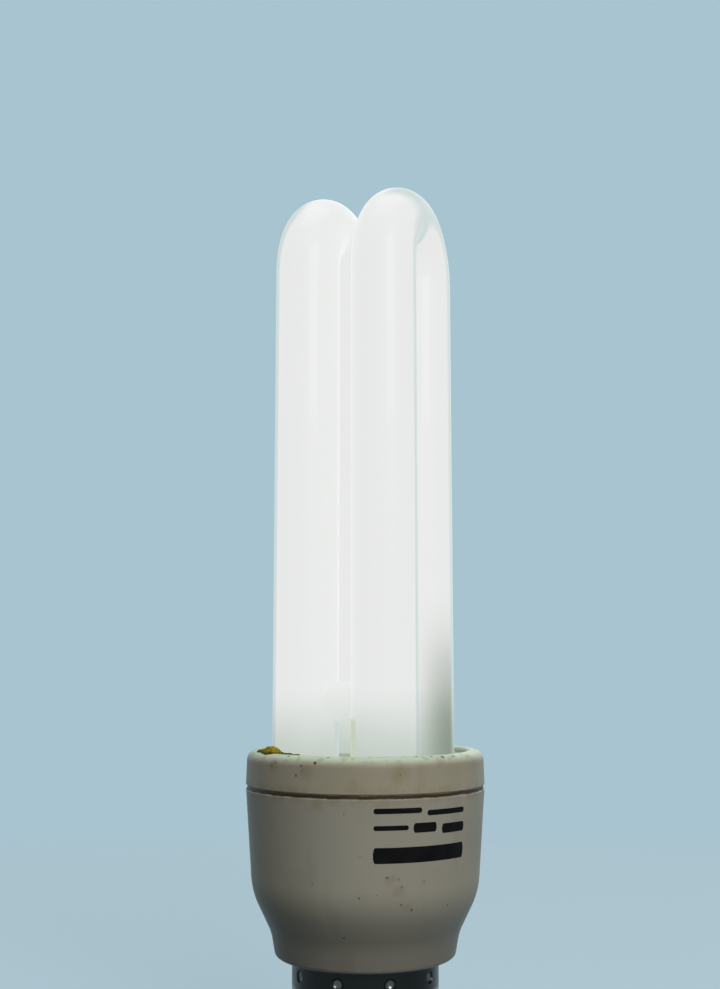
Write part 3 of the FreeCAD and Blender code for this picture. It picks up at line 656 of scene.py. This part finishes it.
    def with_lit_top(self, tree: Tree, colour: Value, above_seam: Value) -> Value:
        """Adds the pale rim and deck, lit by the tubes, and the grime on the rim.

        Args:
            tree: The material's tree.
            colour: The colour so far.
            above_seam: Height above the seam.

        Returns:
            The colour with the lit top.
        """
        deck = tree.radius().smooth(*self.deck_r) * above_seam.smooth(*self.deck_height)
        lit = above_seam.smooth(*self.lit_heights).greater(self.deck_share * deck)
        colour = tree.mix(lit, colour, self.lit_top)
        on_rim = above_seam.bump_at(self.rim_above_seam, self.rim_half_width)
        return tree.mix(on_rim * self.rim_grime.on(tree), colour, self.grime_and_shade)

    def with_specks(self, tree: Tree, colour: Value, cloud: Value) -> Value:
        """Adds fine dust and scattered specks.

        Args:
            tree: The material's tree.
            colour: The colour so far.
            cloud: Wide, soft noise.

        Returns:
            The colour with the specks.
        """
        colour = tree.mix(self.dust.on(tree) * cloud.smooth(*self.dusty), colour, self.yellowed)
        specks = tree.cells(self.speck_cells).smooth(*self.speck_edge)
        return tree.mix(specks * self.specked.on(tree), colour, self.dirt)

    def with_marks(self, tree: Tree, colour: Value, marks: Marks, warp: Warp, tint: Colour) -> Value:
        """Adds a group of marks.

        Args:
            tree: The material's tree.
            colour: The colour so far.
            marks: The group.
            warp: Shift of the place that makes the marks ragged.
            tint: Colour of the marks.

        Returns:
            The colour with the marks.
        """
        around = tree.warped(warp)
        for stain in marks.stains():
            centre = on_ring(stain.ring_r, stain.angle, SEAM_Z + stain.above_seam)
            share = tree.spot(around, centre, self.mark_spread * stain.size) * stain.strength
            colour = tree.mix(share, colour, tint)
        return colour


@dataclass(frozen=True)
class RolledSheet(Finish):
    """Plated sheet with rolling lines round the axis, tarnish in the roots and rubbed crests."""

    uneven_gloss: float = 0.1
    cloud_scale: float = 160.0
    cloud_bump: float = 0.4
    line_scale: float = 220.0
    line_stretch: Triple = (0.12, 0.12, 22.0)
    line_share: float = 0.5
    tarnish: Colour = linear(112, 104, 88)
    tarnish_edge: Span = (0.42, 0.7)
    tarnish_share: float = 0.75
    tarnish_gloss: float = 0.16
    rubbed_r: Span = (12.3 * MM, 12.95 * MM)
    rubbed_share: float = 0.6
    # On the cap this colour is painted shade: the top of the shell goes near black under the case.
    grime_and_shade: Colour = linear(15, 16, 17)
    shade_band_heights: Span = (19.8 * MM, 21.8 * MM)
    shade_band_wobble: float = 1.0 * MM
    shade_band_share: float = 0.95
    shade_band_gloss: float = 0.1
    dimple_to_skirt: Span = (12.72 * MM, 13.0 * MM)
    dimple_shade: float = 0.74

    def dress(self, tree: Tree, sockets: bpy.types.NodeInputs) -> None:
        """Adds the tarnish, the rolling lines, the rubbed crests and a band of painted shade under the
        case.

        Args:
            tree: The material's tree.
            sockets: The shader's inputs.
        """
        radius = tree.radius()
        cloud = tree.noise(self.cloud_scale, detail=5.0)
        lines = tree.noise(self.line_scale, 2.0, self.line_stretch)
        rubbed = radius.smooth(*self.rubbed_r)
        dull = cloud.smooth(*self.tarnish_edge) * (1 - self.rubbed_share * rubbed)
        colour = tree.mix(lines * self.line_share, self.colour, self.shade)
        colour = tree.mix(dull * self.tarnish_share, colour, self.tarnish)
        # Painted shade: a near-black band at the top of the shell under the case, a little weaker in the
        # dimples.
        height = tree.axis(Axis.Z) + self.shade_band_wobble * cloud.around_zero()
        on_skirt = radius.smooth(*self.dimple_to_skirt)
        shade_strength = self.dimple_shade + (1 - self.dimple_shade) * on_skirt
        band = height.smooth(*self.shade_band_heights) * shade_strength
        tree.feed(sockets["Base Color"], tree.mix(band * self.shade_band_share, colour, self.grime_and_shade))
        rough = self.roughness + self.tarnish_gloss * dull + self.uneven_gloss * lines.around_zero()
        tree.feed(sockets["Roughness"], rough + self.shade_band_gloss * band)
        tree.feed(sockets["Normal"], tree.bump(lines + self.cloud_bump * cloud, self.grain_depth))


@dataclass(frozen=True)
class DriedAdhesive(Finish):
    """Clear yellow-brown adhesive, with painted shade at its left end and where it meets the rim."""

    uneven_gloss: float = 0.2
    cloud_scale: float = 1500.0
    shading: Patches = Patches(1100.0, (0.4, 0.66), detail=2.0)
    pale: Colour = linear(200, 186, 96)
    pale_edge: Span = (0.54, 0.7)
    pale_share: float = 0.7
    # The colour of the painted shade.
    dark: Colour = linear(54, 49, 6)
    shaded_end: Span = (-12.4 * MM, -14.4 * MM)
    shaded_end_share: float = 0.7
    shaded_foot: Span = (6.9 * MM, 6.5 * MM)
    shaded_foot_share: float = 0.75

    def dress(self, tree: Tree, sockets: bpy.types.NodeInputs) -> None:
        """Adds the dark and pale patches.

        Args:
            tree: The material's tree.
            sockets: The shader's inputs.
        """
        cloud = tree.noise(self.cloud_scale, detail=4.0)
        colour = tree.mix(self.shading.on(tree), self.colour, self.shade)
        colour = tree.mix(cloud.smooth(*self.pale_edge) * self.pale_share, colour, self.pale)
        # Painted shade at the left end, and low down where the lump meets the rim.
        end = tree.axis(Axis.X).smooth(*self.shaded_end)
        colour = tree.mix(end * self.shaded_end_share, colour, self.dark)
        low = (tree.axis(Axis.Z) - SEAM_Z).smooth(*self.shaded_foot)
        colour = tree.mix(low * self.shaded_foot_share, colour, self.dark)
        tree.feed(sockets["Base Color"], colour)
        tree.feed(sockets["Roughness"], self.roughness + self.uneven_gloss * cloud.around_zero())
        tree.feed(sockets["Normal"], tree.bump(cloud, self.grain_depth))


LIT_GLASS = LitGlass("lit_glass", (0.04, 0.041, 0.04), (0.034, 0.036, 0.034), 0.5, coat=0.06,
                     specular=0.1)
COVER_PLASTIC = MouldedPlastic("cover_plastic", linear(157, 151, 133), linear(145, 138, 115), 0.45,
                               specular=0.16, grain_depth=0.012 * MM, marks=Marks.COLLAR,
                               smears=Marks.COLLAR_SMEARS)
CASE_PLASTIC = MouldedPlastic("case_plastic", linear(154, 151, 137), linear(143, 138, 120), 0.45,
                              specular=0.16, grain_depth=0.012 * MM)
NICKEL = RolledSheet("nickel_sheet", linear(180, 177, 170), linear(150, 147, 140), 0.2, metallic=1.0,
                     grain_depth=0.01 * MM)
BLACK_GLASS = Finish("black_glass", linear(22, 20, 24), linear(34, 30, 34), 0.12, coat=0.6)
BRASS = Finish("brass_plate", linear(186, 166, 118), linear(150, 128, 84), 0.3, metallic=1.0)
SOLDER = Finish("solder", linear(168, 168, 166), linear(130, 130, 128), 0.38, metallic=1.0, grain=1600.0)
ADHESIVE = DriedAdhesive("dried_adhesive", linear(140, 122, 22), linear(86, 72, 6), 0.55, specular=0.06)
INK = Finish("print_ink", linear(12, 11, 12), linear(20, 18, 18), 0.6, specular=0.06, grain=2400.0,
             grain_depth=0.004 * MM)
CEMENT = Finish("cement", linear(206, 200, 180), linear(184, 176, 152), 0.85, grain_depth=0.05 * MM)
LAMINATE = Finish("paper_laminate", linear(170, 132, 74), linear(150, 112, 58), 0.55)
FERRITE = Finish("ferrite", linear(58, 58, 62), linear(44, 44, 48), 0.6, grain=2200.0)
DARK_PLASTIC = Finish("dark_plastic", linear(30, 30, 31), linear(40, 40, 41), 0.55)
ENAMEL = Finish("enamelled_wire", linear(176, 92, 44), linear(142, 66, 28), 0.3, metallic=0.8, coat=0.5)
SLEEVE = Finish("shrunk_sleeve", linear(28, 34, 62), linear(20, 24, 48), 0.35, coat=0.3)
DIPPED = Finish("dipped_resin", linear(150, 46, 26), linear(126, 34, 20), 0.25, coat=0.6)
SMALL_GLASS = Finish("diode_glass", linear(84, 104, 150), linear(60, 76, 118), 0.15, coat=0.6)
LACQUER = Finish("resistor_lacquer", linear(132, 160, 172), linear(112, 140, 154), 0.35, coat=0.3)
WIRE_COVER = Finish("wire_cover", linear(196, 196, 190), linear(176, 174, 164), 0.45)
TINNED = Finish("tinned_wire", linear(182, 182, 178), linear(150, 150, 146), 0.3, metallic=1.0)


def dress(name: str, finish: Finish) -> None:
    """Gives a CAD node a finish.

    Args:
        name: The node's name.
        finish: The finish.
    """
    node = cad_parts[name]
    material = bpy.data.materials.get(finish.name) or finish.material()
    node.data.materials.clear()
    node.data.materials.append(material)
    LOG.info("%s has the finish %s", name, finish.name)


def as_piece(name: str, mesh: bmesh.types.BMesh, finish: Finish) -> bpy.types.Object:
    """Makes a finished piece of the lamp from a bmesh.

    Args:
        name: The piece's name.
        mesh: Its mesh, which is freed.
        finish: Its finish.

    Returns:
        The object, at the origin.
    """
    data = bpy.data.meshes.new(name)
    mesh.to_mesh(data)
    mesh.free()
    data.shade_smooth()
    data.set_sharp_from_angle(angle=math.radians(SHARP_ANGLE))
    data.materials.append(finish.material())
    piece = bpy.data.objects.new(name, data)
    bpy.context.scene.collection.objects.link(piece)
    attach(piece, ROOT)
    LOG.info("%s has %d faces", name, len(data.polygons))
    return piece


@dataclass
class GlassTubes:
    """The sealed tubes and the cement that holds them."""

    leg_count: int = 4

    def build(self) -> None:
        """Dresses the tubes and the rings of cement."""
        dress("discharge_tube", LIT_GLASS)
        for i in range(1, self.leg_count + 1):
            dress(f"leg_cement_{i}", CEMENT)


@dataclass(frozen=True)
class Bar:
    """One printed bar: its two angles and its two heights above the seam in millimetres."""

    start: float
    end: float
    low: float
    high: float


@dataclass
class Housing:
    """Cover, case and the print on the case: three rows of plain bars, bolder from row to row."""

    top_r: float = 21.8 * MM
    taper: float = 0.0707
    ink_lift: float = 0.015 * MM
    ink_thickness: float = 0.03 * MM
    ink_rounding: float = 0.45
    corner_segments: int = 5
    degrees_per_step: float = 1.2
    fewest_steps: int = 2
    bars: tuple[Bar, ...] = (
        Bar(-62.6, -40.0, -2.75, -1.85), Bar(-37.2, -14.4, -3.25, -2.35),
        Bar(-62.6, -46.4, -5.5, -4.7), Bar(-44.0, -32.0, -6.0, -4.4), Bar(-28.8, -14.0, -6.4, -4.8),
        Bar(-62.8, -13.8, -10.9, -8.3),
    )

    def build(self) -> None:
        """Dresses cover and case and prints the bars."""
        dress("top_cover", COVER_PLASTIC)
        dress("ballast_case", CASE_PLASTIC)
        ink = bmesh.new()
        for bar in self.bars:
            self.add_bar(ink, bar)
        as_piece("print_bars", ink, INK)

    def surface_r(self, above_seam: float) -> float:
        """Radius of the case's taper at a height above the seam, both in metres."""
        return self.top_r + self.taper * above_seam

    def add_bar(self, ink: bmesh.types.BMesh, bar: Bar) -> None:
        """Spins one upright edge into a patch, rounds its corners and gives it a thickness.

        Args:
            ink: The mesh of all bars.
            bar: The bar.
        """
        patch = bmesh.new()
        ends = [
            patch.verts.new(on_ring(self.surface_r(z * MM) + self.ink_lift, bar.start, SEAM_Z + z * MM))
            for z in (bar.low, bar.high)
        ]
        edge = patch.edges.new(ends)
        steps = max(self.fewest_steps, round((bar.end - bar.start) / self.degrees_per_step))
        bmesh.ops.spin(patch, geom=[*ends, edge], axis=(0, 0, 1), cent=(0, 0, 0), steps=steps,
                       angle=math.radians(bar.end - bar.start))
        corners = [vert for vert in patch.verts if len(vert.link_edges) == 2]
        rounding = self.ink_rounding * (bar.high - bar.low) * MM
        bmesh.ops.bevel(patch, geom=corners, offset=rounding, segments=self.corner_segments,
                        profile=0.5, affect="VERTICES", material=-1)
        bmesh.ops.recalc_face_normals(patch, faces=patch.faces)
        if sum(face.normal.dot(face.calc_center_median()) for face in patch.faces) < 0:
            bmesh.ops.reverse_faces(patch, faces=patch.faces)
        bmesh.ops.solidify(patch, geom=patch.faces[:], thickness=self.ink_thickness)
        data = bpy.data.meshes.new("bar")
        patch.to_mesh(data)
        patch.free()
        ink.from_mesh(data)
        bpy.data.meshes.remove(data)


@dataclass
class AdhesiveLump:
    """Dried adhesive between the front left leg and the rim: a heap with a thin tail each side."""

    ring_r: float = 19.3 * MM
    outward: float = 0.8 * MM
    rim_above_seam: float = 6.47 * MM
    start: float = 222.0
    end: float = 257.0
    step: float = 1.4
    peak: float = 235.0
    spread_before: float = 6.6
    spread_after: float = 5.6
    peakedness: float = 1.4
    thin_r: float = 0.3 * MM
    heap_r: float = 1.2 * MM
    unevenness: float = 0.22
    swells_to_a_degree: float = 0.31
    sink: float = 0.22
    ball_subdivisions: int = 3
    voxel: float = 0.1 * MM
    softening: float = 0.5
    softening_rounds: int = 5
    wobble: float = 0.28 * MM
    wobble_scale: float = 1300.0

    def build(self) -> None:
        """Joins the balls into one skin and roughens it."""
        piece = as_piece("adhesive_lump", self.balls(), ADHESIVE)
        remesh = piece.modifiers.new("skin", "REMESH")
        remesh.mode = "VOXEL"
        remesh.voxel_size = self.voxel
        smooth = piece.modifiers.new("soften", "SMOOTH")
        smooth.factor = self.softening
        smooth.iterations = self.softening_rounds
        depsgraph = bpy.context.evaluated_depsgraph_get()
        skin = bpy.data.meshes.new_from_object(piece.evaluated_get(depsgraph))
        piece.modifiers.clear()
        for vert in skin.vertices:
            swell = noise.noise(vert.co * self.wobble_scale)
            vert.co += vert.normal * swell * self.wobble
        skin.shade_smooth()
        skin.materials.clear()
        skin.materials.append(piece.data.materials[0])
        piece.data = skin
        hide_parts("dried_adhesive")

    def balls(self) -> bmesh.types.BMesh:
        """Lays overlapping balls along the rim, further out before the heap than after it.

        Returns:
            The balls.
        """
        heap = bmesh.new()
        count = round((self.end - self.start) / self.step)
        for i in range(count + 1):
            angle = self.start + i * self.step
            radius = self.ball_r(angle)
            before_peak = max(0.0, self.peak - angle) / (self.peak - self.start)
            ring_r = self.ring_r + self.outward * before_peak
            centre = on_ring(ring_r, angle, SEAM_Z + self.rim_above_seam - self.sink * radius)
            bmesh.ops.create_icosphere(heap, subdivisions=self.ball_subdivisions, radius=radius,
                                       matrix=Matrix.Translation(centre))
        return heap

    def ball_r(self, angle: float) -> float:
        """Size of a ball: a thin thread with one heap in it.

        Args:
            angle: The ball's angle in degrees.

        Returns:
            Its radius in metres.
        """
        spread = self.spread_before if angle < self.peak else self.spread_after
        uneven = 1 + self.unevenness * noise.noise(Vector((angle * self.swells_to_a_degree, 0.0, 0.0)))
        fall = abs((angle - self.peak) / spread) ** self.peakedness
        return (self.thin_r + self.heap_r * math.exp(-fall)) * uneven


@dataclass
class ScrewCap:
    """Shell, insulator and contact of the cap."""

    def build(self) -> None:
        """Dresses the four pieces."""
        dress("cap_shell", NICKEL)
        dress("cap_insulator", BLACK_GLASS)
        dress("centre_contact", BRASS)
        dress("contact_solder", SOLDER)


@dataclass
class ControlGear:
    """What the case holds: the board, its parts and the leads."""

    def finishes(self) -> dict[str, Finish]:
        """Sorts the inner nodes by what they are made of.

        Returns:
            The finish of each inner node, by the start of its name.
        """
        return {
            "circuit_board": LAMINATE,
            "choke_core": FERRITE,
            "choke_bobbin": DARK_PLASTIC,
            "choke_winding": ENAMEL,
            "feedback_ring": FERRITE,
            "feedback_windings": ENAMEL,
            "smoothing_capacitor": SLEEVE,
            "resonance_capacitor": DIPPED,
            "coupling_capacitor": DIPPED,
            "switching_transistor": DARK_PLASTIC,
            "rectifier_diode": DARK_PLASTIC,
            "trigger_diode": SMALL_GLASS,
            "fuse_resistor": LACQUER,
            "base_resistor": LACQUER,
            "centre_lead": WIRE_COVER,
            "shell_lead": WIRE_COVER,
            "lead_post": TINNED,
            "filament_lead": TINNED,
        }

    def build(self) -> None:
        """Dresses every inner node."""
        for start, finish in self.finishes().items():
            for name in sorted(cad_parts):
                if name.startswith(start):
                    dress(name, finish)


@dataclass(frozen=True)
class SoftLight:
    """A soft square light: its name, place, side in metres and power in watts."""

    name: str
    place: Triple
    size: float
    power: float


@dataclass
class Studio:
    """Pale floor, soft lights and the camera at the photograph's angle."""

    backdrop: Colour = linear(168, 196, 208)
    floor_r: float = 4.0
    floor_segments: int = 96
    floor_colour: Colour = linear(206, 220, 227)
    floor_bounce: Colour = linear(76, 79, 82)
    fade: Span = (0.08, 0.42)
    plain_share: float = 0.74
    room_colour: Colour = (1.0, 1.0, 1.0)
    room_light: float = 0.04
    lights: tuple[SoftLight, ...] = (
        SoftLight("key", (0.78, -0.74, 0.62), 0.6, 10.5),
        SoftLight("fill", (-1.0, 0.3, 0.45), 1.0, 1.8),
        SoftLight("top", (0.0, 0.0, 1.15), 0.8, 5.5),
        SoftLight("back", (-0.1, 1.1, 0.5), 1.0, 3.4),
    )
    camera_distance: float = 238.89 * MM
    camera_above_seam: float = 22.67 * MM
    camera_azimuth: float = 23.75
    camera_pitch: float = 7.40
    camera_yaw: float = -0.229
    camera_near: float = 10.0 * MM
    lens: float = 46.44
    sensor: float = 36.0

    def build(self) -> None:
        """Makes the floor, the world, the lights and the camera."""
        self.make_floor()
        self.make_world()
        for light in self.lights:
            self.add_light(light)
        self.make_camera()

    def make_floor(self) -> None:
        """Makes the round floor."""
        disc = bmesh.new()
        bmesh.ops.create_circle(disc, cap_ends=True, segments=self.floor_segments, radius=self.floor_r)
        data = bpy.data.meshes.new("floor")
        disc.to_mesh(data)
        disc.free()
        data.materials.append(self.floor_material())
        floor = bpy.data.objects.new("floor", data)
        bpy.context.scene.collection.objects.link(floor)

    def floor_material(self) -> bpy.types.Material:
        """A finish that takes shadows near the lamp and fades into the backdrop.

        Returns:
            The material.
        """
        material = bpy.data.materials.new("floor")
        tree = Tree(material)
        away = tree.vector("LENGTH", tree.place(), output="Value")
        seen = self.seen(tree)
        colour = tree.mix(seen, self.floor_bounce, self.floor_colour)
        lit = tree.node("ShaderNodeBsdfDiffuse", None, {"Color": colour})
        plain = tree.node("ShaderNodeEmission", None, {"Color": self.backdrop})
        share = away.smooth(*self.fade).greater(self.plain_share) * seen
        tree.close(tree.node("ShaderNodeMixShader", None, {0: share, 1: lit, 2: plain}))
        return material

    @staticmethod
    def seen(tree: Tree) -> Value:
        """Tells rays that see or mirror the backdrop from those that gather light.

        Args:
            tree: The tree of the floor or the world.

        Returns:
            1 for rays that see or mirror it, and 0 for the others.
        """
        rays = tree.node("ShaderNodeLightPath", output="Is Camera Ray")
        for ray in ("Is Glossy Ray", "Is Transmission Ray"):
            rays = rays.greater(tree.node("ShaderNodeLightPath", output=ray))
        return rays

    def make_world(self) -> None:
        """Makes white room light, with the backdrop's colour where it is seen or mirrored."""
        world = bpy.data.worlds.new("room")
        bpy.context.scene.world = world
        tree = Tree(world)
        light = tree.node("ShaderNodeBackground", None,
                          {"Color": self.room_colour, "Strength": self.room_light})
        backdrop = tree.node("ShaderNodeBackground", None, {"Color": self.backdrop})
        mixed = tree.node("ShaderNodeMixShader", None, {0: self.seen(tree), 1: light, 2: backdrop})
        tree.close(mixed, "ShaderNodeOutputWorld")

    def add_light(self, light: SoftLight) -> None:
        """Hangs a light that faces the lamp.

        Args:
            light: The light.
        """
        data = bpy.data.lights.new(light.name, "AREA")
        data.size = light.size
        data.energy = light.power
        hung = bpy.data.objects.new(light.name, data)
        hung.location = light.place
        aim = Vector((0.0, 0.0, SEAM_Z)) - Vector(light.place)
        hung.rotation_euler = aim.to_track_quat("-Z", "Y").to_euler()
        bpy.context.scene.collection.objects.link(hung)

    def make_camera(self) -> None:
        """Makes the camera, fitted to the photograph's outlines."""
        data = bpy.data.cameras.new("camera")
        data.sensor_fit = "VERTICAL"
        data.sensor_height = self.sensor
        data.lens = self.lens
        data.clip_start = self.camera_near
        camera = bpy.data.objects.new("camera", data)
        camera.location = on_ring(self.camera_distance, self.camera_azimuth - 90.0,
                                  SEAM_Z + self.camera_above_seam)
        tilt = math.radians(90.0 + self.camera_pitch)
        turn = math.radians(self.camera_azimuth - self.camera_yaw)
        camera.rotation_euler = Euler((tilt, 0.0, turn))
        bpy.context.scene.collection.objects.link(camera)
        bpy.context.scene.camera = camera


def main() -> None:
    """Builds the stage and the lamp's sub-assemblies in order."""
    logging.basicConfig(level=logging.INFO, format="%(name)s: %(message)s")
    bpy.context.scene.view_settings.view_transform = "Standard"
    for part in (Studio(), GlassTubes(), Housing(), AdhesiveLump(), ScrewCap(), ControlGear()):
        part.build()


if __name__ == "__main__":
    main()
